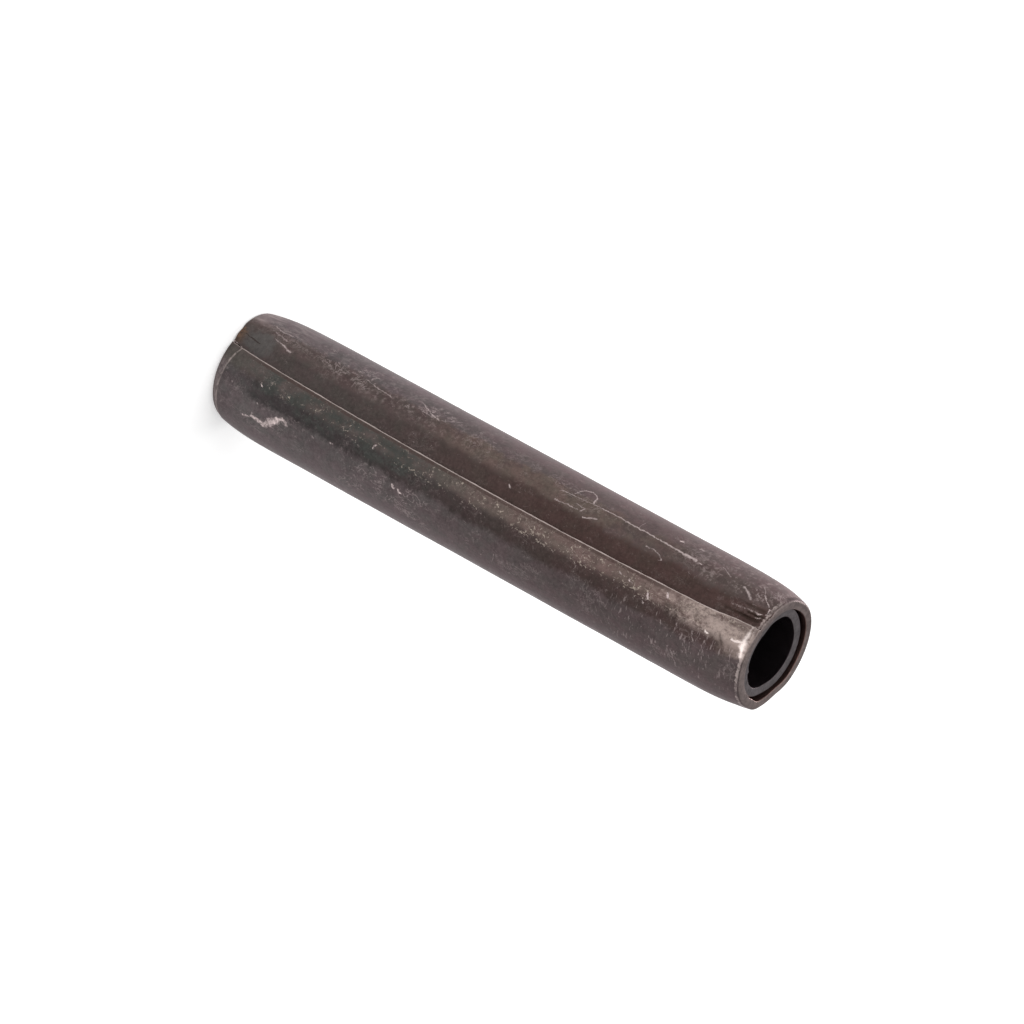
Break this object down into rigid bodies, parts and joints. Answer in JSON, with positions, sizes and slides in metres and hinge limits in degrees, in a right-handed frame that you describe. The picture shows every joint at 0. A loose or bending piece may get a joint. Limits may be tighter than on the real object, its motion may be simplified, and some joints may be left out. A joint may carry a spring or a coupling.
{
  "type": "coiled spring pin",
  "caption": "Spring steel strip rolled into a spiral tube with a straight body, swaged ends, a lapped seam and an open bore, standing on one end.",
  "frame": {"origin": "on the pin's axis, at the centre of the end that it stands on", "axes": "+Z along the pin; the seam faces -Y at mid-length"},
  "size_m": [0.0106, 0.0106, 0.055],
  "materials": {
    "oxide_steel": "black oxide over rolled spring steel, semi-gloss, scuffed from handling in bulk"
  },
  "bodies": {
    "root": {"coiled_strip": "oxide_steel"}
  },
  "joints": []
}
